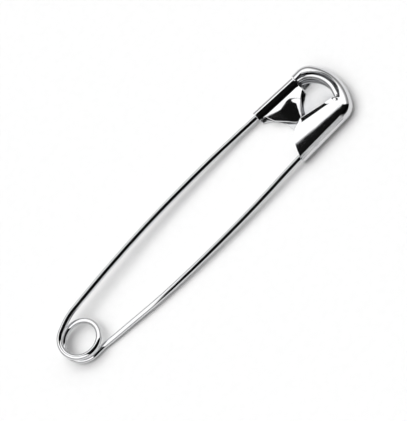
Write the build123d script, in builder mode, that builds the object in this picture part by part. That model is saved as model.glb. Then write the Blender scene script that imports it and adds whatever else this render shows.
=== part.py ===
from build123d import *
import math
import os

# A safety pin lying flat: one spring wire, coiled once and a half, and a cap
# folded from one sheet. X runs from the coil to the cap, Z is up, and the
# origin is on the coil's axis, in the plane that the pin rests on.
# The fixed arm is on the +Y side and the needle arm on the -Y side.

# The wire
wire_diameter = 0.86
wire_radius = wire_diameter / 2

# The spring coil, wound downwards from the fixed arm to the needle arm
coil_radius = 2.80  # to the middle of the wire
coil_pitch = 1.34
coil_start_angle = 115  # where the fixed arm leaves the ring, seen from above
coil_end_angle = 630  # where the needle arm leaves it
biarc_angle = 90  # the ring is made in steps of about a quarter turn

# The two arms, from the coil to the mouth of the cap
arm_reach = 38.95
fixed_arm_bow = 5.44  # the widest that the fixed arm stands from the middle
needle_arm_bow = 4.78
needle_length_in_cap = 7.85
point_length = 3.6
point_tip_radius = 0.05
# Stations on each arm, as shares of its reach and of its bow, and its headings there
fixed_arm_shares = [(0.131, 0.745), (0.434, 0.945), (0.729, 1.000)]
fixed_arm_headings = [7.0, 3.4, 0.0]
needle_arm_shares = [(0.105, -0.663), (0.360, -0.892), (0.750, -1.000)]
needle_arm_headings = [-6.6, -4.0, 0.0]
needle_mouth_heading = 1.0

# The cap's sheet and outer form
sheet = 0.32
cap_length = 11.70
cap_half_width = 5.42
cap_height = 2.40
cap_front_radius = 8.20
cap_corner_radius = 2.40
cap_side_radius = 1.16  # the round of the folded side walls
flap_corner_radii = [0.6, 1.6, 0.5]
arch_depth = 2.30  # how far the back plate's mouth is arched back
arch_half_width = 4.10
# Points of the sheet's edges, as shares of the cap's length and half width
opening_edge_shares = [(-0.10, -1.10), (0.00, -0.94), (0.11, -0.43), (0.28, -0.13), (0.80, -0.42)]
opening_lip_shares = [(0.920, 0.10), (0.735, 0.77)]
opening_back_shares = [(0.60, 0.77), (0.60, 1.20), (-0.10, 1.20)]
tongue_edge_shares = [(-0.10, 0.77), (0.06, 0.77), (0.30, 0.03), (0.43, 0.09)]
tongue_hollow_shares = [(0.50, 0.36), (0.66, 0.55)]
tongue_back_shares = [(0.80, 0.60), (0.80, 1.40), (-0.10, 1.40)]

# The left fold, rolled tight round the fixed wire, and its sloping flap
roll_gap = 0.08
roll_length = 7.45
roll_slant = 3.6
roll_overhang = 0.57  # how far the roll's mouth stands out beyond the dome
flap_bend_radius = 1.34  # where the sheet leaves the wire and turns down
flap_slope = 40
flap_drop_run = 0.25
flap_level_radius = 1.00  # where it turns back, nearly level
flap_level_angle = 36
flap_run = 2.85
tongue_corner_radii = [0.4, 0.5]

# The hook at the end of the fixed wire, inside the dome
hook_shares = [(0.835, 0.520), (0.882, 0.080), (0.840, -0.315)]
hook_headings = [-62, -91, -110]
hook_height = 1.20
hook_end_round = 0.25
hook_gap = 0.05

# The needle's seat in the right channel
seat_gap = 0.08

# One overrun serves every cut that passes right through
overrun = 1.0

mouth_x = arm_reach
nose_x = mouth_x + cap_length
roll_middle_radius = wire_radius + roll_gap + sheet / 2
roll_z = sheet / 2 + roll_middle_radius
roll_outer_radius = roll_middle_radius + sheet / 2
side_centre_y = cap_half_width - cap_side_radius
roll_mouth_y = cap_half_width + roll_overhang - roll_outer_radius
needle_z = cap_height / 2
needle_seat_y = -(cap_half_width - sheet - seat_gap - wire_radius)


def at_cap(x_share, y_share, z=0.0):
    """A point by its shares of the cap's length and half width."""
    return Vector(mouth_x + x_share * cap_length, y_share * cap_half_width, z)


def heading(angle, slope=0.0):
    """A unit direction by its angle in plan and its rise along the way."""
    turn = math.radians(angle)
    return Vector(math.cos(turn), math.sin(turn), slope).normalized()


def biarc(start, end):
    """Two tangent arcs between two stations, each a point and a direction."""
    p0, t0 = start
    p1, t1 = end
    v = p1 - p0
    t = t0 + t1
    spread = 2 * (1 - t0.dot(t1))
    if spread < 1e-9:
        Line(p0, p1)
        return
    vt = v.dot(t)
    d = (math.sqrt(vt * vt + spread * v.dot(v)) - vt) / spread
    middle = (p0 + t0 * d + p1 - t1 * d) / 2
    first = TangentArc(p0, middle, tangent=t0)
    TangentArc(middle, p1, tangent=first % 1)


def wire_line(stations):
    """One smooth line through all the stations."""
    with BuildLine() as line:
        for start, end in zip(stations, stations[1:]):
            biarc(start, end)
    return line.wires()[0]


def wire_solid(line, radius=wire_radius):
    """A round wire along a line."""
    with BuildPart() as solid:
        with BuildSketch(Plane(line @ 0, z_dir=line % 0)):
            Circle(radius)
        sweep(path=line)
    return solid.part


# The coil's line: a straight end, the ring, and a straight end
coil_sweep = coil_end_angle - coil_start_angle
coil_slope = coil_pitch / (2 * math.pi * coil_radius)
coil_bottom_z = wire_radius
coil_top_z = coil_bottom_z + coil_pitch * coil_sweep / 360
ring_steps = round(coil_sweep / biarc_angle)


def ring_station(angle):
    """The place and direction of the wire's middle at an angle of the ring, level at its ends."""
    turn = math.radians(angle)
    z = coil_top_z - coil_pitch * (angle - coil_start_angle) / 360
    place = Vector(coil_radius * math.cos(turn), coil_radius * math.sin(turn), z)
    slope = coil_slope if coil_start_angle < angle < coil_end_angle else 0
    return place, heading(angle + 90, -slope)


ring = [
    ring_station(coil_start_angle + coil_sweep * i / ring_steps)
    for i in range(ring_steps + 1)
]
coil_fixed_end = (ring[0][0] - ring[0][1] * wire_diameter, ring[0][1])
coil_needle_end = (ring[-1][0] + ring[-1][1] * wire_diameter, ring[-1][1])
coil_line = wire_line([coil_fixed_end, *ring, coil_needle_end])

with BuildPart() as spring_coil:
    add(wire_solid(coil_line))
spring_coil.part.label = "spring_coil"

# The coil's least gap to itself, measured on points half a turn or more apart
points_on_coil = 240
coil_points = [coil_line @ (i / points_on_coil) for i in range(points_on_coil + 1)]
half_turn = math.pi * coil_radius
spacing = coil_line.length / points_on_coil
least = min(
    (a - b).length
    for i, a in enumerate(coil_points)
    for b in coil_points[i + math.ceil(half_turn / spacing):]
)
print("least gap of the coil to itself", round(least - wire_diameter, 3), "mm")


# The fixed arm: from the coil along the pin, through the roll, round the hook
def arm_stations(shares, headings, bow, start_z, end_z):
    """The stations of an arm that falls or rises evenly along its reach."""
    slope = (end_z - start_z) / arm_reach
    return [
        (Vector(arm_reach * x, bow * y, start_z + (end_z - start_z) * x), heading(angle, slope))
        for (x, y), angle in zip(shares, headings)
    ]


roll_direction = heading(-roll_slant)
roll_mouth = Vector(mouth_x, roll_mouth_y, roll_z)
roll_end = roll_mouth + roll_direction * roll_length
fixed_start = (coil_fixed_end[0], coil_fixed_end[1] * -1)
fixed_stations = [
    fixed_start,
    *arm_stations(fixed_arm_shares, fixed_arm_headings, fixed_arm_bow, coil_top_z, roll_z),
    (roll_mouth, roll_direction),
    (roll_end, roll_direction),
    *[(at_cap(x, y, hook_height), heading(a)) for (x, y), a in zip(hook_shares, hook_headings)],
]
hook_last, hook_direction = fixed_stations[-1]
fixed_stations.append((hook_last + hook_direction * wire_radius, hook_direction))
fixed_line = wire_line(fixed_stations)

with BuildPart() as fixed_arm:
    add(wire_solid(fixed_line))
    hook_end = fixed_arm.faces().filter_by(GeomType.PLANE).sort_by(Axis.X)[-1]
    fillet(hook_end.edges(), hook_end_round)
fixed_arm.part.label = "fixed_arm"

# The needle arm: from the coil to its point in the right channel
needle_end = Vector(mouth_x + needle_length_in_cap - point_length, needle_seat_y, needle_z)
needle_stations = [
    coil_needle_end,
    *arm_stations(needle_arm_shares, needle_arm_headings, needle_arm_bow, coil_bottom_z, needle_z),
    (Vector(mouth_x, needle_seat_y, needle_z), heading(needle_mouth_heading)),
    (needle_end, heading(0)),
]
needle_line = wire_line(needle_stations)

with BuildPart() as needle_arm:
    add(wire_solid(needle_line))
    with BuildSketch(Plane(needle_line @ 1, z_dir=needle_line % 1)):
        Circle(wire_radius)
    with BuildSketch(Plane(needle_line @ 1 + needle_line % 1 * point_length, z_dir=needle_line % 1)):
        Circle(point_tip_radius)
    loft()
needle_arm.part.label = "needle_arm"


# The cap
def cushion(inset):
    """The closed form of the cap's dome and right side, drawn in by an inset."""
    half = cap_half_width - inset
    front_radius = cap_front_radius - inset
    front_x = nose_x - inset - front_radius + math.sqrt(front_radius**2 - half**2)
    back_x = mouth_x - (overrun if inset else 0)
    with BuildPart() as form:
        with BuildSketch(Plane.XY.offset(inset)) as plan:
            with BuildLine():
                Polyline((front_x, -half), (back_x, -half), (back_x, half), (front_x, half))
                ThreePointArc((front_x, half), (nose_x - inset, 0), (front_x, -half))
            make_face()
            fillet(plan.vertices().sort_by(Axis.X)[-2:], cap_corner_radius - inset)
        extrude(amount=cap_height - inset * 2)
        faces = form.faces().sort_by(Axis.Z)
        rims = [e for face in (faces[0], faces[-1]) for e in face.edges().sort_by(Axis.X)[1:]]
        fillet(rims, cap_side_radius - inset)
    return form.part


def cutter(plane, height, draw):
    """A prism whose plan is drawn by a function."""
    with BuildPart() as prism:
        with BuildSketch(plane):
            with BuildLine():
                draw()
            make_face()
        extrude(amount=height)
    return prism.part


def draw_top_opening():
    """The top sheet's opening: the mouth, the right flap's free edge and the lip."""
    edge = FilletPolyline([at_cap(*share) for share in opening_edge_shares], radius=flap_corner_radii)
    lip = ThreePointArc(edge @ 1, *[at_cap(*share) for share in opening_lip_shares])
    Polyline(lip @ 1, *[at_cap(*share) for share in opening_back_shares], edge @ 0)


def draw_arch():
    """The arched mouth edge of the back plate."""
    low, high = (mouth_x, -arch_half_width), (mouth_x, arch_half_width)
    ThreePointArc(low, (mouth_x + arch_depth, 0), high)
    Polyline(high, (mouth_x - overrun, arch_half_width), (mouth_x - overrun, -arch_half_width), low)


def draw_tongue():
    """The plan of the left fold: the roll, and the flap's rounded tongue."""
    edge = FilletPolyline([at_cap(*share) for share in tongue_edge_shares], radius=tongue_corner_radii)
    hollow = ThreePointArc(edge @ 1, *[at_cap(*share) for share in tongue_hollow_shares])
    Polyline(hollow @ 1, *[at_cap(*share) for share in tongue_back_shares], edge @ 0)


inward = heading(-roll_slant - 90)
with BuildPart() as left_fold:
    with BuildSketch(Plane(roll_end, x_dir=inward, z_dir=roll_direction * -1)):
        with BuildLine():
            under = Line((cap_side_radius, -roll_middle_radius), (0, -roll_middle_radius))
            over = JernArc(under @ 1, under % 1, roll_middle_radius, -180)
            bend = JernArc(over @ 1, over % 1, flap_bend_radius, -flap_slope)
            drop = Line(bend @ 1, bend @ 1 + (bend % 1) * flap_drop_run)
            level = JernArc(drop @ 1, drop % 1, flap_level_radius, flap_level_angle)
            Line(level @ 1, level @ 1 + (level % 1) * flap_run)
        trace(line_width=sheet)
    extrude(amount=roll_length)
    add(cutter(Plane.XY.offset(-overrun), cap_height + overrun * 2, draw_tongue), mode=Mode.INTERSECT)

left_wall_x = roll_end.X - sheet
passage_start = fixed_stations.index((roll_mouth, roll_direction))
passage = wire_solid(wire_line(fixed_stations[passage_start:]), wire_radius + hook_gap)

with BuildPart() as cap:
    add(cushion(0))
    add(cushion(sheet), mode=Mode.SUBTRACT)
    add(cutter(Plane.XY.offset(hook_height), cap_height, draw_top_opening), mode=Mode.SUBTRACT)
    add(cutter(Plane.XY.offset(-overrun), overrun + sheet, draw_arch), mode=Mode.SUBTRACT)
    with Locations((left_wall_x, side_centre_y)):
        Box(
            left_wall_x - mouth_x + overrun,
            cap_side_radius + overrun,
            cap_height + overrun,
            align=(Align.MAX, Align.MIN, Align.MIN),
            mode=Mode.SUBTRACT,
        )
    add(left_fold.part)
    add(passage, mode=Mode.SUBTRACT)
cap.part.label = "cap"

os.makedirs("parts", exist_ok=True)
for piece in (spring_coil, fixed_arm, needle_arm, cap):
    export_step(piece.part, f"parts/{piece.part.label}.step")
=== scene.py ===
import math

import bmesh
import bpy
import numpy as np
from mathutils import Matrix, Vector
from mathutils.geometry import delaunay_2d_cdt


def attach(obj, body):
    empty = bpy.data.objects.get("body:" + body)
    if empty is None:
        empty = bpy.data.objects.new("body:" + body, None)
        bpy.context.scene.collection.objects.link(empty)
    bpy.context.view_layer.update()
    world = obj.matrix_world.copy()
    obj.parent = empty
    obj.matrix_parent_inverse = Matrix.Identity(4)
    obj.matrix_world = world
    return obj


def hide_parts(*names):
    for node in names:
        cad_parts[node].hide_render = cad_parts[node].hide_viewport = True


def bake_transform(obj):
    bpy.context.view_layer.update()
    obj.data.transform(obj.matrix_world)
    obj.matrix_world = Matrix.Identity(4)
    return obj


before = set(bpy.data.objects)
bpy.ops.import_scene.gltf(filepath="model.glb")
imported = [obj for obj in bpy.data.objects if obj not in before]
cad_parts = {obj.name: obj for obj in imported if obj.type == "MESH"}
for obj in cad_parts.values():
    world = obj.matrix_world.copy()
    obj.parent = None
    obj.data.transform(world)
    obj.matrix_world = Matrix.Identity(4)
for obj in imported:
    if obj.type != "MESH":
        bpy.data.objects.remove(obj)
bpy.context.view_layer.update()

# Sizes are in millimetres, unless a comment says metres. The wire, the coil
# and the cap repeat the driving dimensions of the CAD source.
METRE = 0.001  # millimetres times this are metres
FULL_TURN, QUARTER_TURN = 2 * math.pi, math.pi / 2

WIRE = 0.86
WIRE_R = WIRE / 2
COIL_R = 2.80
COIL_PITCH = 1.34
COIL_START, COIL_END = 115, 630
RING_STEP = 90
ARM_REACH = 38.95
FIXED_BOW = 5.44
NEEDLE_BOW = 4.78
NEEDLE_IN_CAP = 7.85
POINT_LENGTH = 3.6
POINT_TIP = 0.05
SHEET = 0.32
CAP_LENGTH = 11.70
CAP_HALF = 5.42
CAP_HEIGHT = 2.40
FRONT_R = 8.20
CORNER_R = 2.40
SIDE_R = 1.16
ARCH_DEPTH = 2.30
ARCH_HALF = 4.10
ROLL_GAP = 0.08
ROLL_SLANT = 3.6
ROLL_OVERHANG = 0.57
ROLL_LENGTH = 7.45
HOOK_Z = 1.20
SEAT_GAP = 0.08

MOUTH_X = ARM_REACH
NOSE_X = MOUTH_X + CAP_LENGTH
ROLL_MID = WIRE_R + ROLL_GAP + SHEET / 2
ROLL_Z = SHEET / 2 + ROLL_MID
ROLL_MOUTH_Y = CAP_HALF + ROLL_OVERHANG - ROLL_MID - SHEET / 2
SIDE_Y = CAP_HALF - SIDE_R
NEEDLE_Z = CAP_HEIGHT / 2
NEEDLE_Y = -(CAP_HALF - SHEET - SEAT_GAP - WIRE_R)

# How finely the wire is drawn, and how its two free ends are rounded off
ARM_STEP, COIL_STEP = 0.12, 0.08
TUBE_SIDES, END_RINGS = 40, 6
HOOK_END_R, POINT_END_R = 0.25, 0.04
SHARP_ANGLE = math.radians(35)
SAME_PLACE = 1e-6  # points nearer to each other than this are one


# Vectors and curves
def vec(*values):
    return np.array(values, float)


def unit(v):
    return v / np.linalg.norm(v)


def heading(angle, slope=0.0):
    """The direction at an angle in plan, in degrees, that climbs by a slope."""
    turn = math.radians(angle)
    return unit(vec(math.cos(turn), math.sin(turn), slope))


def at_cap(x_share, y_share, z=0.0):
    """A place given by shares of the cap's length, from its mouth, and of its half width."""
    return vec(MOUTH_X + x_share * CAP_LENGTH, y_share * CAP_HALF, z)


def on_circle(centre, radius, angle):
    return vec(centre[0] + radius * math.cos(angle), centre[1] + radius * math.sin(angle))


def rotated(v, angle):
    """A vector of a plane, turned in that plane."""
    c, s = math.cos(angle), math.sin(angle)
    return vec(v[0] * c - v[1] * s, v[0] * s + v[1] * c)


def lengths_along(line):
    """How far along a line each of its points lies."""
    return np.concatenate([[0], np.cumsum(np.linalg.norm(np.diff(line, axis=0), axis=1))])


def between(line, values, i, level):
    """The point of a line, after its point i, where a value along it reaches a level."""
    share = (level - values[i]) / (values[i + 1] - values[i])
    return line[i] + (line[i + 1] - line[i]) * share


def soft_step(x):
    """A step from 0 to 1 that starts and ends softly."""
    return x**2 * (3 - 2 * x)


def soft_slope(past, ease):
    """Nothing before 0, and a slope of one after it, reached softly over a length."""
    return np.where(past < ease, np.maximum(past, 0) ** 2 / (2 * ease), past - ease / 2)


def arc_points(p0, t0, p1, step):
    """Points of the arc that leaves p0 along t0 and ends at p1, without p0."""
    chord = p1 - p0
    length = np.linalg.norm(chord)
    aside = chord - t0 * (chord @ t0)
    if np.linalg.norm(aside) < 1e-7 * length:
        n = max(1, math.ceil(length / step))
        return [p0 + chord * i / n for i in range(1, n + 1)]
    aside = unit(aside)
    half_turn = math.acos(max(-1.0, min(1.0, chord @ t0 / length)))
    radius = length / (2 * math.sin(half_turn))
    n = max(4, math.ceil(2 * half_turn * radius / step))
    angles = [2 * half_turn * i / n for i in range(1, n + 1)]
    return [p0 + t0 * radius * math.sin(a) + aside * radius * (1 - math.cos(a)) for a in angles]


def biarc_points(start, end, step):
    """The same two tangent arcs as the CAD's line between two stations."""
    (p0, t0), (p1, t1) = start, end
    v, t = p1 - p0, t0 + t1
    spread = 2 * (1 - t0 @ t1)
    if spread < 1e-9:
        return arc_points(p0, t0, p1, step)
    vt = v @ t
    d = (math.sqrt(vt * vt + spread * (v @ v)) - vt) / spread
    middle = (p0 + t0 * d + p1 - t1 * d) / 2
    turned = unit(2 * unit(middle - p0) * (unit(middle - p0) @ t0) - t0)
    return arc_points(p0, t0, middle, step) + arc_points(middle, turned, p1, step)


def wire_points(stations, step=ARM_STEP):
    """Points of the wire's axis through stations, each a place and a direction."""
    points = [stations[0][0]]
    for start, end in zip(stations, stations[1:]):
        points += biarc_points(start, end, step)
    return np.array(points)


def ring_station(angle):
    """A station of the coil, which sinks evenly, and is level where it starts and ends."""
    turn = math.radians(angle)
    z = COIL_TOP - COIL_PITCH * (angle - COIL_START) / 360
    slope = COIL_PITCH / (FULL_TURN * COIL_R) if COIL_START < angle < COIL_END else 0
    return vec(COIL_R * math.cos(turn), COIL_R * math.sin(turn), z), heading(angle + 90, -slope)


def arm_stations(shares, headings, bow, start_z, end_z):
    """Stations of a bowed arm between the coil and the cap, which climbs evenly."""
    slope = (end_z - start_z) / ARM_REACH
    return [
        (vec(ARM_REACH * x, bow * y, start_z + (end_z - start_z) * x), heading(angle, slope))
        for (x, y), angle in zip(shares, headings)
    ]


# The wire's route
COIL_SWEEP = COIL_END - COIL_START
COIL_TOP = WIRE_R + COIL_PITCH * COIL_SWEEP / 360
ring_steps = round(COIL_SWEEP / RING_STEP)
ring = [ring_station(COIL_START + COIL_SWEEP * i / ring_steps) for i in range(ring_steps + 1)]
coil_fixed_end = (ring[0][0] - ring[0][1] * WIRE, ring[0][1])
coil_needle_end = (ring[-1][0] + ring[-1][1] * WIRE, ring[-1][1])
coil_path = wire_points([coil_fixed_end, *ring, coil_needle_end], COIL_STEP)

fixed_shares = [(0.131, 0.745), (0.434, 0.945), (0.729, 1.000)]
fixed_headings = [7.0, 3.4, 0.0]
needle_shares = [(0.105, -0.663), (0.360, -0.892), (0.750, -1.000)]
needle_headings, needle_mouth_heading = [-6.6, -4.0, 0.0], 1.0
hook_shares = [(0.835, 0.520), (0.882, 0.080), (0.840, -0.315)]
hook_headings = [-62, -91, -110]

roll_direction = heading(-ROLL_SLANT)
roll_inward = heading(-ROLL_SLANT - 90)
roll_mouth = vec(MOUTH_X, ROLL_MOUTH_Y, ROLL_Z)
roll_end = roll_mouth + roll_direction * ROLL_LENGTH
fixed_stations = [
    (coil_fixed_end[0], -coil_fixed_end[1]),
    *arm_stations(fixed_shares, fixed_headings, FIXED_BOW, COIL_TOP, ROLL_Z),
    (roll_mouth, roll_direction),
    (roll_end, roll_direction),
    *[(at_cap(x, y, HOOK_Z), heading(a)) for (x, y), a in zip(hook_shares, hook_headings)],
]
hook_last, hook_direction = fixed_stations[-1]
fixed_stations.append((hook_last + hook_direction * WIRE_R, hook_direction))
fixed_path = wire_points(fixed_stations)

needle_end = vec(MOUTH_X + NEEDLE_IN_CAP - POINT_LENGTH, NEEDLE_Y, NEEDLE_Z)
needle_stations = [
    coil_needle_end,
    *arm_stations(needle_shares, needle_headings, NEEDLE_BOW, WIRE_R, NEEDLE_Z),
    (vec(MOUTH_X, NEEDLE_Y, NEEDLE_Z), heading(needle_mouth_heading)),
    (needle_end, heading(0)),
    (needle_end + heading(0) * POINT_LENGTH, heading(0)),
]
needle_path = wire_points(needle_stations)


# Meshes
def new_mesh(name, vertices, faces):
    """A smooth object, with sharp edges where its faces meet steeply."""
    mesh = bpy.data.meshes.new(name)
    mesh.from_pydata([tuple(v * METRE) for v in vertices], [], faces)
    mesh.validate()
    mesh.shade_smooth()
    mesh.set_sharp_from_angle(angle=SHARP_ANGLE)
    obj = bpy.data.objects.new(name, mesh)
    bpy.context.scene.collection.objects.link(obj)
    return obj


def rounded_end(section, amount):
    """Rings that take the rim of the wire's end inwards along a quarter round."""
    p, t, a, b, r, s = section
    rings = []
    for k in range(1, END_RINGS + 1):
        turn = QUARTER_TURN * k / END_RINGS
        place = p + t * amount * (math.sin(turn) - 1)
        rings.append((place, t, a, b, r - amount * (1 - math.cos(turn)), s))
    return rings


def tube(name, path, radii, end_r=0.0):
    """A closed round wire along a path, with the rim of its last end rounded off.

    Its vertices carry an attribute, along, which is how far along the wire they lie.
    """
    tangents = np.gradient(path, axis=0)
    tangents /= np.linalg.norm(tangents, axis=1)[:, None]
    lengths = lengths_along(path)
    a = unit(np.cross(tangents[0], vec(0, 0, 1)))
    sections = []
    for p, t, r, s in zip(path, tangents, radii, lengths):
        a = unit(a - t * (a @ t))
        sections.append((p, t, a, np.cross(t, a), r, s))
    if end_r:
        keep_to = np.searchsorted(lengths, lengths[-1] - end_r - SAME_PLACE)
        sections = sections[:keep_to] + rounded_end(sections[-1], end_r)

    turns = [FULL_TURN * k / TUBE_SIDES for k in range(TUBE_SIDES)]
    vertices, along = [], []
    for p, t, a, b, r, s in sections:
        vertices += [p + (a * math.cos(w) + b * math.sin(w)) * r for w in turns]
        along += [s] * TUBE_SIDES
    faces = []
    for i in range(len(sections) - 1):
        this_ring, next_ring = i * TUBE_SIDES, (i + 1) * TUBE_SIDES
        for k in range(TUBE_SIDES):
            m = (k + 1) % TUBE_SIDES
            faces.append((this_ring + k, this_ring + m, next_ring + m, next_ring + k))
    last_ring = (len(sections) - 1) * TUBE_SIDES
    faces.append(tuple(range(TUBE_SIDES))[::-1])
    faces.append(tuple(range(last_ring, last_ring + TUBE_SIDES)))
    obj = new_mesh(name, vertices, faces)
    layer = obj.data.attributes.new("along", "FLOAT", "POINT")
    layer.data.foreach_set("value", np.array(along, np.float32))
    return obj


def point_radii(path):
    """The needle's radius along its path: even, then tapering to the point."""
    left = NEEDLE_IN_CAP + MOUTH_X - path[:, 0]
    share = np.clip(left / POINT_LENGTH, 0, 1)
    return POINT_TIP + (WIRE_R - POINT_TIP) * share


fixed_arm = tube("fixed_wire", fixed_path, [WIRE_R] * len(fixed_path), HOOK_END_R)
needle_arm = tube("needle_wire", needle_path, point_radii(needle_path), POINT_END_R)
coil = tube("coil_wire", coil_path, [WIRE_R] * len(coil_path))


# The cap: one sheet, laid out by its middle surface and then thickened
def rounded_line(corners, radii, steps=8):
    """A line in plan through the corners, the inner ones rounded off."""
    corners = [vec(*c[:2]) for c in corners]
    line = [corners[0]]
    for before, corner, after, radius in zip(corners, corners[1:], corners[2:], radii):
        a, b = unit(before - corner), unit(after - corner)
        half_angle = math.acos(a @ b) / 2
        centre = corner + unit(a + b) * radius / math.sin(half_angle)
        arm = corner + a * radius / math.tan(half_angle) - centre
        sign = 1 if a[0] * b[1] - a[1] * b[0] < 0 else -1
        turn = sign * (math.pi - 2 * half_angle)
        line += [centre + rotated(arm, turn * i / steps) for i in range(steps + 1)]
    line.append(corners[-1])
    return np.array(line)


def arc_through(p0, p1, p2, steps):
    """The arc in plan through three points."""
    ax, ay, bx, by, cx, cy = *p0[:2], *p1[:2], *p2[:2]
    d = 2 * (ax * (by - cy) + bx * (cy - ay) + cx * (ay - by))
    a2, b2, c2 = ax * ax + ay * ay, bx * bx + by * by, cx * cx + cy * cy
    ox = (a2 * (by - cy) + b2 * (cy - ay) + c2 * (ay - by)) / d
    oy = (a2 * (cx - bx) + b2 * (ax - cx) + c2 * (bx - ax)) / d
    r = math.hypot(ax - ox, ay - oy)
    w0, w1, w2 = (math.atan2(y - oy, x - ox) for x, y in ((ax, ay), (bx, by), (cx, cy)))
    if (w1 - w0) % FULL_TURN < (w2 - w0) % FULL_TURN:
        sweep = (w2 - w0) % FULL_TURN
    else:
        sweep = -((w0 - w2) % FULL_TURN)
    return np.array([on_circle((ox, oy), r, w0 + sweep * i / steps) for i in range(steps + 1)])


def even(line, step):
    """The same line with points about a step apart."""
    s = lengths_along(line)
    n = max(2, math.ceil(s[-1] / step))
    at = np.linspace(0, s[-1], n + 1)
    return np.stack([np.interp(at, s, line[:, k]) for k in range(line.shape[1])], axis=1)


def loop(*lines):
    """One closed outline from lines that follow each other."""
    points = []
    for line in lines:
        for p in line:
            if not points or np.linalg.norm(p - points[-1]) > SAME_PLACE:
                points.append(p)
    if np.linalg.norm(points[0] - points[-1]) < SAME_PLACE:
        points.pop()
    return np.array(points)


def closed(outline):
    """An outline with its first point once more at its end."""
    return np.vstack([outline, outline[:1]])


def inside(points, outline):
    """Which points lie within an outline."""
    hit = np.zeros(len(points), bool)
    x, y = points[:, 0], points[:, 1]
    for (x0, y0), (x1, y1) in zip(outline, np.roll(outline, -1, axis=0)):
        crosses = (y0 > y) != (y1 > y)
        with np.errstate(divide="ignore", invalid="ignore"):
            at = x0 + (y - y0) * (x1 - x0) / (y1 - y0)
        hit ^= crosses & (x < at)
    return hit


def distance_to(points, line):
    """Each point's least distance to a line of points."""
    a, b = line[:-1], line[1:]
    ab = b - a
    size = np.maximum((ab * ab).sum(1), 1e-12)
    best = np.full(len(points), 1e9)
    for p0, d, q in zip(a, ab, size):
        t = np.clip(((points - p0) @ d) / q, 0, 1)
        best = np.minimum(best, np.linalg.norm(points - p0 - t[:, None] * d, axis=1))
    return best


def rows_along(outline, depths):
    """Points in rows that follow an outline on its inner side."""
    along = np.roll(outline, -1, axis=0) - np.roll(outline, 1, axis=0)
    along /= np.linalg.norm(along, axis=1)[:, None]
    x, y = outline[:, 0], outline[:, 1]
    left = 1 if x @ np.roll(y, -1) > y @ np.roll(x, -1) else -1
    inward = left * np.stack([-along[:, 1], along[:, 0]], axis=1)
    rows = []
    for depth in depths:
        points = outline + inward * depth
        points = points[inside(points, outline)]
        rows.append(points[distance_to(points, closed(outline)) > ROW_SHARE * depth])
    rows = np.vstack(rows)
    keep = np.ones(len(rows), bool)
    for i in range(1, len(rows)):
        keep[i] = np.linalg.norm(rows[:i][keep[:i]] - rows[i], axis=1).min() > LEAST_STEP
    return rows[keep]


def filled(outline, step, depths=()):
    """Triangles that fill an outline, with rows along its edge and a lattice inside."""
    low, high = outline.min(0), outline.max(0)
    xs = np.arange(low[0] + step / 2, high[0], step)
    ys = np.arange(low[1] + step / 2, high[1], step)
    grid = np.array([(x, y) for x in xs for y in ys])
    grid = grid[inside(grid, outline)]
    margin = step * MARGIN_SHARE + (depths[-1] if depths else 0)
    grid = grid[distance_to(grid, closed(outline)) > margin]
    if depths:
        grid = np.vstack([rows_along(outline, depths), grid])
    points = [Vector(p) for p in np.vstack([outline, grid])]
    # The 1 asks for the triangles inside the outline only
    made = delaunay_2d_cdt(points, [], [list(range(len(outline)))], 1, 1e-7)
    return np.array([tuple(p) for p in made[0]]), [tuple(f) for f in made[2]]


# The mesh of the cap: a lattice inside each outline, and rows of points along its free edge
STEP, TONGUE_STEP, PLATE_STEP, FACE_STEP = 0.16, 0.13, 0.28, 0.05
EDGE_STEP, EDGE_ROWS = 0.10, (0.06, 0.13, 0.21, 0.30, 0.40, 0.52, 0.66)
TONGUE_ROWS = EDGE_ROWS[:4]
LEAST_STEP = 0.04
ROW_SHARE, MARGIN_SHARE, LIP_ROOM_SHARE = 0.93, 0.55, 0.35
QUARTER_STEPS, CORNER_STEPS, FRONT_STEPS, ARC_STEPS = 20, 12, 56, 48
JOIN_WITHIN = 0.002
EDGE_BEVEL = 0.05

MID_R = SIDE_R - SHEET / 2
PLATE_Z = SHEET / 2
TOP_Z = CAP_HEIGHT - SHEET / 2
TOP_TURN = math.radians(85)  # the round side ends before it is level, because the top is crowned
TOP_OUT = MID_R * math.cos(TOP_TURN)
CROWN = 0.045  # how much the top rises from the side
CROWN_LOST = 0.8  # the share of that rise that is lost towards the nose
CREST_AT_MOUTH, CREST_AT_NOSE = 1.35, 0.35  # how far from the rim the crown's crest is
NOSE_WAY_SHARE = 0.85  # the share of the cap's length over which the crown and its crest change
TOP_DIP, TOP_EASE = math.tan(math.radians(5.0)), 0.9  # the slope inwards beyond the crest
CURL, CURL_WIDTH, CURL_EASE = 0.15, 0.42, 0.8  # the free edge is turned up beyond the crest
CURL_FROM, CURL_TO, CURL_LEFT = 42.5, 48.6, 0.6  # and less of it is left towards the nose
PLATE_WAVE, WAVE_LENGTH, WAVE_Y, WAVE_EASE = 0.023, 5.2, 2.0, 1.6  # the plate isn't quite flat
SLIT_X, SLIT = 46.30, 0.18  # the gap between the end of the roll and the dome's wall
WALL_X = SLIT_X + SLIT / 2
SLIT_RUN = 0.10  # how far the slit's line runs on into the top sheet
TRIM_REACH = 2.4  # how far from the mouth the flap's edge moves points of the round side

# The channel's outer face is flat, and fades into the round of the nose
FACE_TILT, FACE_FOOT_R, FACE_TOP_R = math.radians(60.3), 0.30, 0.10
FACE_FOOT_STEPS, FACE_TOP_STEPS = 6, 8
FACE_FADE_FROM, FACE_FADE = 2.6, 2.0

# The fold's section, from under the wire, round it, and out into the tongue
FOLD_R, FOLD_DOWN, FOLD_RUN, FOLD_LEVEL_R, FOLD_BACK, FOLD_REACH = 0.67, 60, 0.04, 0.30, 61, 5.0
FOLD_STEP = 5

# The hollow pressed into the tongue: its slope, which grows farther in
HOLLOW = math.tan(math.radians(4.6))
DEEPER, DEEPER_FROM, DEEPER_EASE = math.tan(math.radians(3.5)), 1.9, 0.5
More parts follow.
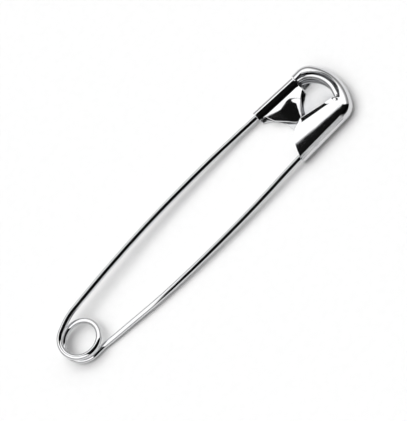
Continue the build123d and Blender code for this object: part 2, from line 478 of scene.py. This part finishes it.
# Its border as (along, inward), and how softly it begins there
BORDER_ALONG = [0.0, 1.0, 1.3, 3.05, 4.2, 4.6, 5.0, 5.6]
BORDER_INWARD = [0.6, 0.9, 1.0, 1.70, 1.40, 1.30, 1.35, 1.55]
BORDER_BLUR = 0.1
EASE_ALONG, EASE = [1.0, 3.5], [0.7, 0.35]
# Where it ends along the roll, as (inward, along), and how far it then takes to rise again
END_INWARD = [1.3, 1.8, 2.2, 2.7, 3.8, 5.0]
END_ALONG, END_RISE = [5.0, 4.9, 5.05, 5.41, 4.99, 4.45], 0.9

# The opening of the top sheet: the right flap's free edge, then the lip
opening_shares = [
    (-0.10, -1.10), (0.00, -0.94), (0.11, -0.43), (0.20, -0.26), (0.34, -0.15),
    (0.79, -0.41), (0.835, -0.56), (0.861, -0.49),
]
opening_radii = [0.6, 1.2, 0.8, 0.5, 0.5, 0.12]
lip_shares = [(0.936, 0.022), (0.735, 0.77)]
flap_edge = rounded_line([at_cap(*s) for s in opening_shares], opening_radii)
lip_edge = arc_through(flap_edge[-1], *[at_cap(*s) for s in lip_shares], ARC_STEPS)

# Where the lip is cut into the round of the front, as angles about the front's centre
front_r, corner_r = FRONT_R - SIDE_R, CORNER_R - SIDE_R
centre_x = NOSE_X - SIDE_R - front_r
lip_angle = np.arctan2(lip_edge[:, 1], lip_edge[:, 0] - centre_x)
top_r = front_r + TOP_OUT
lip_over = np.hypot(lip_edge[:, 1], lip_edge[:, 0] - centre_x) - top_r
enter, leave = [i for i in range(len(lip_over) - 1) if (lip_over[i] > 0) != (lip_over[i + 1] > 0)]
enter_angle, leave_angle = (between(lip_angle, lip_over, i, 0) for i in (enter, leave))
enter_point, leave_point = (
    on_circle((centre_x, 0), top_r, angle) for angle in (enter_angle, leave_angle)
)


def rim_line():
    """The line in plan where the round side begins, from the mouth round to the left wall."""
    reach = front_r - corner_r
    corner_x = centre_x + math.sqrt(reach**2 - (SIDE_Y - corner_r) ** 2)
    corner_y = SIDE_Y - corner_r
    meet = math.atan2(corner_y, corner_x - centre_x)
    corner_turns = [(QUARTER_TURN - meet) * i / CORNER_STEPS for i in range(1, CORNER_STEPS + 1)]
    line = [vec(MOUTH_X, -SIDE_Y), vec(corner_x, -SIDE_Y)]
    for turn in corner_turns:
        line.append(on_circle((corner_x, -corner_y), corner_r, turn - QUARTER_TURN))
    # Points of the front that come too near to where the lip cuts in are left out
    front_step = 2 * meet / FRONT_STEPS
    front = [front_step * i - meet for i in range(1, FRONT_STEPS + 1)]
    room = LIP_ROOM_SHARE * front_step
    front = [w for w in front if min(abs(w - enter_angle), abs(w - leave_angle)) > room]
    for w in sorted([*front, enter_angle, leave_angle]):
        line.append(on_circle((centre_x, 0), front_r, w))
    for turn in corner_turns:
        line.append(on_circle((corner_x, corner_y), corner_r, meet + turn))
    line.append(vec(WALL_X, SIDE_Y))
    return np.array(line)


whole_rim = rim_line()
rim = np.vstack([even(whole_rim[:2], STEP), whole_rim[2:-1], even(whole_rim[-2:], STEP)[1:]])
rim_along = np.gradient(rim, axis=0)
rim_along /= np.linalg.norm(rim_along, axis=1)[:, None]
rim_out = np.stack([rim_along[:, 1], -rim_along[:, 0]], axis=1)
rim_angle = np.arctan2(rim[:, 1], rim[:, 0] - centre_x)
enters = int(np.argmin(np.abs(rim_angle - enter_angle)))
leaves = int(np.argmin(np.abs(rim_angle - leave_angle)))

# The flap's edge runs over the round side at the mouth, where it trims the first rows
trim_y = -SIDE_Y - TOP_OUT
mouth_trim = [i for i, p in enumerate(flap_edge) if p[1] > trim_y][0]
trimmed = flap_edge[:mouth_trim + 1]
cross = between(flap_edge, flap_edge[:, 1], mouth_trim - 1, trim_y)


def face_section():
    """Points (out, up) of the channel's side, from its widest place to its top."""
    tip = QUARTER_TURN - TOP_TURN
    sides = [[math.cos(FACE_TILT), math.cos(tip)], [math.sin(FACE_TILT), math.sin(tip)]]
    foot_out = FACE_FOOT_R * (1 - math.sin(FACE_TILT))
    foot_up = FACE_FOOT_R * math.cos(FACE_TILT)
    top_out = FACE_TOP_R * (math.sin(FACE_TILT) - math.sin(tip))
    top_up = FACE_TOP_R * (math.cos(tip) - math.cos(FACE_TILT))
    left = [MID_R - TOP_OUT - foot_out - top_out, MID_R * math.sin(TOP_TURN) - foot_up - top_up]
    face, brim = np.linalg.solve(sides, left)
    line = [vec(MID_R, 0)]
    for tilt in np.linspace(QUARTER_TURN, FACE_TILT, FACE_FOOT_STEPS + 1)[1:]:
        line.append(vec(MID_R - FACE_FOOT_R * (1 - math.sin(tilt)), FACE_FOOT_R * math.cos(tilt)))
    line.append(line[-1] + face * vec(-math.cos(FACE_TILT), math.sin(FACE_TILT)))
    corner = line[-1]
    for tilt in np.linspace(FACE_TILT, tip, FACE_TOP_STEPS + 1)[1:]:
        round_out = math.sin(tilt) - math.sin(FACE_TILT)
        round_up = math.cos(tilt) - math.cos(FACE_TILT)
        line.append(corner + FACE_TOP_R * vec(round_out, round_up))
    line.append(line[-1] + brim * vec(-math.cos(tip), math.sin(tip)))
    return even(np.array(line), FACE_STEP)


face_line = face_section()
face_share = np.linspace(0, 1, len(face_line))
face_way = np.clip((rim[:, 0] - (NOSE_X - SIDE_R - FACE_FADE_FROM)) / FACE_FADE, 0, 1)
faced = np.where(rim[:, 1] < 0, 1 - soft_step(face_way), 0)

# How far the side turns up at each point of the rim: less where the lip is cut into it
in_lip = (rim_angle > enter_angle) & (rim_angle < leave_angle)
top_reach = TOP_OUT + np.where(in_lip, np.interp(rim_angle, lip_angle, lip_over), 0.0)
top_turn = np.arccos(np.clip(top_reach / MID_R, 0, 1))
side_top = TOP_Z - CROWN


def lower_side(share):
    """How far out of the rim and how high the side is, below its widest place."""
    turn = share * QUARTER_TURN
    return np.full(len(rim), MID_R * math.sin(turn)), PLATE_Z + MID_R * (1 - math.cos(turn))


def upper_side(share):
    """The same above its widest place, where the channel has its flat face."""
    turn = share * top_turn
    out, z = MID_R * np.cos(turn), side_top - MID_R * (1 - np.sin(turn))
    flat_out = np.interp(share, face_share, face_line[:, 0])
    flat_z = side_top - MID_R + np.interp(share, face_share, face_line[:, 1])
    return out + (flat_out - out) * faced, z + (flat_z - z) * faced


def trim_row(row):
    """Moves the points of a row near the mouth to behind the flap's edge."""
    y = row[0, 1]
    cut = np.interp(y, trimmed[:, 1], trimmed[:, 0]) if y < cross[1] else cross[0]
    cut = max(cut - MOUTH_X, 0.0)
    way = row[:, 0] - MOUTH_X
    near = (way < TRIM_REACH) & (rim[:, 1] < 0)
    row[near, 0] = MOUTH_X + cut + way[near] * (TRIM_REACH - cut) / TRIM_REACH


shares = [i / QUARTER_STEPS for i in range(QUARTER_STEPS + 1)]
strip = np.zeros((len(rim), 2 * len(shares), 3))
for j, share in enumerate(shares):
    out, strip[:, j, 2] = lower_side(share)
    strip[:, j, :2] = rim + rim_out * out[:, None]
for j, share in enumerate(shares, start=len(shares)):
    out, strip[:, j, 2] = upper_side(share)
    strip[:, j, :2] = rim + rim_out * out[:, None]
    trim_row(strip[:, j])

cap_vertices, cap_faces = [], []


def add_patch(points, polygons):
    start = len(cap_vertices)
    cap_vertices.extend(points)
    cap_faces.extend(tuple(start + k for k in f) for f in polygons)


def grid_faces(rows, columns):
    return [
        (i * columns + j, (i + 1) * columns + j, (i + 1) * columns + j + 1, i * columns + j + 1)
        for i in range(rows - 1)
        for j in range(columns - 1)
    ]


add_patch(strip.reshape(-1, 3), grid_faces(*strip.shape[:2]))


def fold_section():
    """Points (inward, up) of the fold's middle line about the wire's axis."""
    turn = math.pi
    line = [vec(0.0, -ROLL_MID)]
    for radius, sweep, run in (
        (ROLL_MID, -180, 0), (FOLD_R, -FOLD_DOWN, 0), (0, 0, FOLD_RUN),
        (FOLD_LEVEL_R, FOLD_BACK, 0), (0, 0, FOLD_REACH),
    ):
        if run:
            n = max(2, round(run / STEP))
            step = vec(math.cos(turn), math.sin(turn)) * run / n
            for _ in range(n):
                line.append(line[-1] + step)
            continue
        n = round(abs(sweep) / FOLD_STEP)
        sign = 1 if sweep > 0 else -1
        centre = line[-1] + radius * vec(-math.sin(turn), math.cos(turn)) * sign
        arm = line[-1] - centre
        line += [centre + rotated(arm, math.radians(sweep) * i / n) for i in range(1, n + 1)]
        turn += math.radians(sweep)
    return np.array(line)


fold = fold_section()
fold_s = lengths_along(fold)
over = 180 // FOLD_STEP  # the fold's points up to this one go round the wire
over_s = fold_s[over]
ROLL_STOP = (SLIT_X - SLIT / 2 - MOUTH_X) / roll_direction[0]


def hollow_depth(along, inward):
    """How far the tongue is pressed down at a place of its plan."""
    blurred = [
        np.interp(along + shift, BORDER_ALONG, BORDER_INWARD)
        for shift in (-BORDER_BLUR, 0, BORDER_BLUR)
    ]
    past_border = inward - np.mean(blurred, axis=0)
    depth = HOLLOW * soft_slope(past_border, np.interp(along, EASE_ALONG, EASE))
    depth += DEEPER * soft_slope(inward - DEEPER_FROM, DEEPER_EASE)
    risen = np.clip((along - np.interp(inward, END_INWARD, END_ALONG)) / END_RISE, 0, 1)
    return depth * (1 - soft_step(risen))


def on_fold(along, s):
    """The place of a point of the fold, by its way along the roll and round the section."""
    inward = np.interp(s, fold_s, fold[:, 0])
    up = np.interp(s, fold_s, fold[:, 1]) - np.where(s > over_s, hollow_depth(along, inward), 0)
    place = roll_mouth + np.outer(along, roll_direction) + np.outer(inward, roll_inward)
    return place + np.outer(up, vec(0, 0, 1))


def fold_way(inward):
    """The way round the section of a point of the tongue, from its place in plan."""
    return np.interp(inward, fold[over:, 0], fold_s[over:])


roll_rows = np.linspace(0, ROLL_STOP, math.ceil(ROLL_STOP / STEP) + 1)
roll_grid = np.array([on_fold(np.full(over + 1, a), fold_s[:over + 1]) for a in roll_rows])
add_patch(roll_grid.reshape(-1, 3), [f[::-1] for f in grid_faces(len(roll_rows), over + 1)])

# The tongue, first in plan, then by its way along the roll and round the section
tongue_shares = [(-0.10, 0.79), (0.07, 0.79), (0.11, 0.49), (0.29, 0.0), (0.41, 0.04)]
tongue_radii = [0.3, 1.0, 0.5]
throat_shares = [(0.505, 0.36), (0.66, 0.58)]
tongue_edge = rounded_line([at_cap(*s) for s in tongue_shares], tongue_radii)
throat = arc_through(tongue_edge[-1], *[at_cap(*s) for s in throat_shares], ARC_STEPS // 2)
from_mouth = np.vstack([tongue_edge, throat[1:]]) - roll_mouth[:2]
tongue_along = from_mouth @ roll_direction[:2]
tongue_flat = np.stack([tongue_along, fold_way(from_mouth @ roll_inward[:2])], axis=1)
tongue_first = [i for i, a in enumerate(tongue_along) if a > 0][0]
tongue_last = [i for i, a in enumerate(tongue_along) if a < ROLL_STOP][-1]
tongue_start = between(tongue_flat, tongue_along, tongue_first - 1, 0)
tongue_end = between(tongue_flat, tongue_along, tongue_last, ROLL_STOP)
tongue_middle = tongue_flat[tongue_first:tongue_last + 1]
top_row = np.stack([roll_rows, np.full(len(roll_rows), over_s)], axis=1)
tongue_outline = loop(
    top_row[::-1],
    even(np.array([top_row[0], tongue_start]), STEP),
    even(np.vstack([[tongue_start], tongue_middle, [tongue_end]]), EDGE_STEP),
    even(np.array([tongue_end, top_row[-1]]), STEP),
)
flat, triangles = filled(tongue_outline, TONGUE_STEP, TONGUE_ROWS)
add_patch(on_fold(flat[:, 0], flat[:, 1]), [f[::-1] for f in triangles])

# The back plate, in plan
arch_points = [(MOUTH_X, -ARCH_HALF), (MOUTH_X + ARCH_DEPTH, 0), (MOUTH_X, ARCH_HALF)]
arch = arc_through(*arch_points, ARC_STEPS)
roll_foot = roll_grid[:, 0, :2]
roll_corner = (roll_foot[-1][0], SIDE_Y)
plate_outline = loop(
    arch[::-1],
    even(np.array([arch[0], rim[0]]), STEP),
    rim,
    even(np.array([rim[-1], roll_corner]), STEP),
    even(np.array([roll_corner, roll_foot[-1]]), STEP),
    roll_foot[::-1],
    even(np.array([roll_foot[0], arch[-1]]), STEP),
)
flat, triangles = filled(plate_outline, PLATE_STEP)
inner_way = np.clip(distance_to(flat, np.vstack([rim, roll_foot[::-1]])) / WAVE_EASE, 0, 1)
wave = 1 - np.cos(FULL_TURN * (flat[:, 1] - WAVE_Y) / WAVE_LENGTH)
plate_z = PLATE_Z + PLATE_WAVE * wave * soft_step(inner_way)
add_patch(np.column_stack([flat, plate_z]), triangles)

# The top sheet: the right flap and the lip of the dome, in plan
top_rim = strip[:, -1, :2]
right_line = [[cross], flap_edge[mouth_trim:], lip_edge[1:enter + 1], [enter_point]]
right_edge = even(np.vstack(right_line), EDGE_STEP)
left_edge = even(np.vstack([[leave_point], lip_edge[leave + 1:]]), EDGE_STEP)
slit_end = vec(WALL_X, SIDE_Y - SLIT_RUN)
right_outline = loop(top_rim[:enters + 1], right_edge[::-1])
left_outline = loop(
    top_rim[leaves:],
    even(np.array([top_rim[-1], slit_end]), STEP),
    even(np.array([slit_end, lip_edge[-1]]), STEP),
    left_edge[::-1],
)
flap_tip = int(np.argmax(flap_edge[:, 1]))
curled_line = np.vstack([flap_edge[flap_tip:], lip_edge])
rim_top_z = side_top - MID_R * (1 - math.sin(TOP_TURN))


def top_height(plan):
    """How high the top sheet is: crowned beside the rim, lower farther in, its edge curled."""
    nose_way = np.clip((plan[:, 0] - MOUTH_X) / (NOSE_WAY_SHARE * CAP_LENGTH), 0, 1)
    crest = CREST_AT_MOUTH + (CREST_AT_NOSE - CREST_AT_MOUTH) * nose_way
    crown = CROWN * (1 - CROWN_LOST * soft_step(nose_way))
    deep = distance_to(plan, top_rim)
    rise = crown * (1 - (1 - np.clip(deep / crest, 0, 1)) ** 2)
    past_crest = deep - crest
    curl_way = np.clip((plan[:, 0] - CURL_FROM) / (CURL_TO - CURL_FROM), 0, 1)
    curl_left = 1 - (1 - CURL_LEFT) * curl_way
    curl = np.exp(-((distance_to(plan, curled_line) / (CURL_WIDTH * curl_left)) ** 2))
    curl *= CURL * curl_left * np.clip(past_crest / CURL_EASE, 0, 1)
    return rim_top_z + rise - TOP_DIP * soft_slope(past_crest, TOP_EASE) + curl


for outline in (right_outline, left_outline):
    flat, triangles = filled(outline, STEP, EDGE_ROWS)
    add_patch(np.column_stack([flat, top_height(flat)]), triangles)

# The patches are joined, the sheet's outer side is found, and the sheet gets its thickness
cap = new_mesh("cap_sheet", cap_vertices, cap_faces)
shape = bmesh.new()
shape.from_mesh(cap.data)
bmesh.ops.remove_doubles(shape, verts=shape.verts, dist=JOIN_WITHIN * METRE)
bmesh.ops.recalc_face_normals(shape, faces=shape.faces)
highest = max(shape.faces, key=lambda f: f.calc_center_median().z)
if highest.normal.z < 0:
    bmesh.ops.reverse_faces(shape, faces=shape.faces)
shape.to_mesh(cap.data)
shape.free()
thickness = cap.modifiers.new("thickness", "SOLIDIFY")
thickness.thickness = SHEET * METRE
thickness.offset = 0
# The sheet's inner side takes the second material, a copy of the sheet darkened with painted
# shade
thickness.material_offset = 1
thickness.use_even_offset = True
bevel = cap.modifiers.new("edges", "BEVEL")
bevel.width = EDGE_BEVEL * METRE
bevel.segments = 3
bevel.limit_method = "ANGLE"
bevel.angle_limit = math.radians(50)
normals = cap.modifiers.new("normals", "WEIGHTED_NORMAL")
normals.keep_sharp = True

# The arms and the cap move with their bodies. The coil's mesh is laid straight along its
# wire's length while its transform is baked in, and then the coil is put back.
wound = np.array([v.co for v in coil.data.vertices], np.float32)
way = np.zeros(len(wound), np.float32)
coil.data.attributes["along"].data.foreach_get("value", way)
straight = np.zeros_like(wound)
straight[:, 0] = way * METRE
coil.data.vertices.foreach_set("co", straight.ravel())
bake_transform(coil)
coil.data.vertices.foreach_set("co", wound.ravel())
coil.data.update()
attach(fixed_arm, "pin")
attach(cap, "pin")
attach(needle_arm, "needle")
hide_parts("fixed_arm")
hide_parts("needle_arm")
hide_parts("spring_coil")
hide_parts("cap")


# Materials
class Nodes:
    """Short ways to add and join shader nodes."""

    def __init__(self, owner):
        owner.use_nodes = True
        self.tree = owner.node_tree

    def find(self, kind):
        return next(node for node in self.tree.nodes if node.type == kind)

    def add(self, kind, **settings):
        node = self.tree.nodes.new(kind)
        for key, value in settings.items():
            setattr(node, key, value)
        return node

    def join(self, source, target):
        self.tree.links.new(source, target)

    def put(self, node, **values):
        """Sets or joins the sockets of a node by name, with _ for a space."""
        for key, value in values.items():
            name = key.replace("_", " ")
            socket = next(s for s in node.inputs if s.name.lower() == name.lower())
            if hasattr(value, "is_output"):
                self.join(value, socket)
            else:
                socket.default_value = value
        return node

    def noise(self, place, scale, detail):
        node = self.add("ShaderNodeTexNoise")
        return self.put(node, Vector=place, Scale=scale, Detail=detail).outputs[0]

    def spread(self, value, low, high, first=0.0, last=1.0, **settings):
        """A value between low and high, spread over the range from first to last."""
        node = self.add("ShaderNodeMapRange", **settings)
        self.put(node, Value=value, From_Min=low, From_Max=high, To_Min=first, To_Max=last)
        return node.outputs[0]

    def object_place(self):
        return self.add("ShaderNodeTexCoord").outputs["Object"]

    def bump(self, height, strength, distance, **values):
        node = self.add("ShaderNodeBump")
        self.put(node, Strength=strength, Distance=distance, Height=height, **values)
        return node.outputs[0]


HAZE_SCALE, DENTS_SCALE = 420.0, 260.0
LINES_HEIGHT, DENTS_HEIGHT = 0.00002, 0.0002  # in metres
SMOOTHEST, ROUGHEST = 0.04, 0.09


def chrome(name, streaks, light, dim, dull=0.0):
    """Bright nickel plate: fine drawn or rolled lines, faint haze and soft dents."""
    material = bpy.data.materials.new(name)
    n = Nodes(material)
    place = n.object_place()
    lines_place = n.put(n.add("ShaderNodeMapping"), Vector=place, Scale=streaks).outputs[0]
    lines = n.noise(lines_place, scale=1.0, detail=3.0)
    haze = n.noise(place, scale=HAZE_SCALE, detail=4.0)
    dents = n.noise(place, scale=DENTS_SCALE, detail=1.0)
    colour = n.add("ShaderNodeMix", data_type="RGBA")
    factor, colour_a, colour_b = (colour.inputs[i] for i in (0, 6, 7))
    n.join(n.spread(haze, low=0.35, high=0.70), factor)
    colour_a.default_value = (light, light, light + 0.005, 1)
    colour_b.default_value = (dim, dim + 0.005, dim + 0.02, 1)
    lines_bump = n.bump(lines, strength=0.06, distance=LINES_HEIGHT)
    n.put(
        n.find("BSDF_PRINCIPLED"),
        Base_Color=colour.outputs[2],
        Roughness=n.spread(lines, 0.3, 0.75, SMOOTHEST + dull, ROUGHEST + dull),
        Metallic=1.0,
        Normal=n.bump(dents, strength=0.05, distance=DENTS_HEIGHT, Normal=lines_bump),
    )
    return material


def paper():
    """Matt white paper with a faint grain."""
    material = bpy.data.materials.new("paper")
    n = Nodes(material)
    grain = n.noise(n.object_place(), scale=900.0, detail=2.0)
    n.put(
        n.find("BSDF_PRINCIPLED"),
        Base_Color=n.spread(grain, 0.3, 0.7, 0.745, 0.76),
        Roughness=0.9,
        Specular_IOR_Level=0.1,
    )
    return material


SHEET_STREAKS, WIRE_STREAKS = (900.0, 9000.0, 9000.0), (500.0, 6000.0, 6000.0)
cap.data.materials.append(chrome("bright_sheet", SHEET_STREAKS, light=0.68, dim=0.63))
# The sheet's inner side is a duller copy of the bright sheet. Its darker colour is painted shade
# for the inside of the cap.
cap.data.materials.append(chrome("sheet_inside_painted_shade", SHEET_STREAKS, light=0.56, dim=0.50, dull=0.10))
wire_material = chrome("bright_wire", WIRE_STREAKS, light=0.68, dim=0.63)
for piece in (fixed_arm, needle_arm, coil):
    piece.data.materials.append(wire_material)

# The floor, just under the pin, in metres
FLOOR_HALF, FLOOR_DROP = 1.5, 0.00001
floor_mesh = bpy.data.meshes.new("floor")
corners = [(x * FLOOR_HALF, y * FLOOR_HALF, 0) for x, y in ((-1, -1), (1, -1), (1, 1), (-1, 1))]
floor_mesh.from_pydata(corners, [], [(0, 1, 2, 3)])
floor_mesh.materials.append(paper())
floor = bpy.data.objects.new("floor", floor_mesh)
bpy.context.scene.collection.objects.link(floor)
floor.location.z = -FLOOR_DROP

# The light room has a dark part behind the camera. It reaches from beyond overhead down to
# just above the near horizon, as angles from the far horizon over the top, and is bounded to
# the left and right by soft steps along two axes.
DARK_FROM, DARK_TO, DARK_SOFT = math.radians(59.5), math.radians(178), 0.045
LEFT_AXIS, LEFT_FROM, LEFT_TO = (0.9925, -0.122, 0.02), -0.098, -0.068
RIGHT_AXIS, RIGHT_FROM, RIGHT_TO = (-0.707, -0.707, 0.0), -0.392, -0.362
DARK = 0.004
DIM_TO, BRIGHT_FROM, DIM = 0.34, 0.73, 0.22  # the light part is dimmer near the horizon
ROOM_LIGHT, SUN_LIGHT = 1.6, 1.74
SUN_HEIGHT, SUN_WIDTH, SUN_ASIDE = math.radians(76), math.radians(62), -0.10
world = bpy.data.worlds.new("tent")
bpy.context.scene.world = world
room = Nodes(world)
direction = room.add("ShaderNodeTexCoord").outputs["Generated"]


def edge(axis, low, high, first=0.0, last=1.0):
    """A soft step along an axis of the direction."""
    along = room.add("ShaderNodeVectorMath", operation="DOT_PRODUCT")
    room.join(direction, along.inputs[0])
    along.inputs[1].default_value = axis
    along_axis = along.outputs["Value"]
    return room.spread(along_axis, low, high, first, last, interpolation_type="SMOOTHSTEP")


def times(a, b):
    product = room.add("ShaderNodeMath", operation="MULTIPLY")
    room.join(a, product.inputs[0])
    room.join(b, product.inputs[1])
    return product.outputs[0]


over_edge = edge((0, -math.sin(DARK_FROM), math.cos(DARK_FROM)), -DARK_SOFT, DARK_SOFT)
near_edge = edge((0, math.sin(DARK_TO), -math.cos(DARK_TO)), -DARK_SOFT, DARK_SOFT)
left_edge = edge(LEFT_AXIS, LEFT_FROM, LEFT_TO)
right_edge = edge(RIGHT_AXIS, RIGHT_FROM, RIGHT_TO)
dark = times(times(over_edge, near_edge), times(left_edge, right_edge))
light = room.spread(dark, 0.0, 1.0, 1.0, DARK)
sky = edge((0, 0, 1), DIM_TO, BRIGHT_FROM, DIM, 1.0)
room.put(room.find("BACKGROUND"), Color=times(light, sky), Strength=ROOM_LIGHT)

sun_data = bpy.data.lights.new("window_light", "SUN")
sun_data.energy = SUN_LIGHT
sun_data.angle = SUN_WIDTH
sun = bpy.data.objects.new("window_light", sun_data)
bpy.context.scene.collection.objects.link(sun)
sun_from = Vector((SUN_ASIDE, math.cos(SUN_HEIGHT), math.sin(SUN_HEIGHT)))
sun.rotation_mode = "QUATERNION"
sun.rotation_quaternion = sun_from.to_track_quat("Z", "Y")
sun.visible_glossy = False

# The camera looks down at the pin, which lies at a slant across the picture
ELEVATION = math.radians(59)
SLANT_RIGHT, SLANT_UP = 0.700, 0.714
LOOK_AT = vec(24.56, 0.675, 1.0)
CAMERA_AWAY = 0.45  # in metres, as the two clip distances are
FOCAL = 278.6
camera_data = bpy.data.cameras.new("camera")
camera_data.sensor_width = 36
camera_data.lens = FOCAL
camera_data.clip_start, camera_data.clip_end = 0.05, 10
camera = bpy.data.objects.new("camera", camera_data)
bpy.context.scene.collection.objects.link(camera)
sin_e, cos_e = math.sin(ELEVATION), math.cos(ELEVATION)
right = Vector((SLANT_RIGHT, -SLANT_UP * sin_e, -SLANT_UP * cos_e))
up = Vector((SLANT_UP, SLANT_RIGHT * sin_e, SLANT_RIGHT * cos_e))
back = right.cross(up).normalized()
axes = Matrix((right, up, back)).transposed().to_4x4()
camera.matrix_world = Matrix.Translation(Vector(LOOK_AT) * METRE + back * CAMERA_AWAY) @ axes
bpy.context.scene.camera = camera

bpy.context.scene.view_settings.view_transform = "Standard"
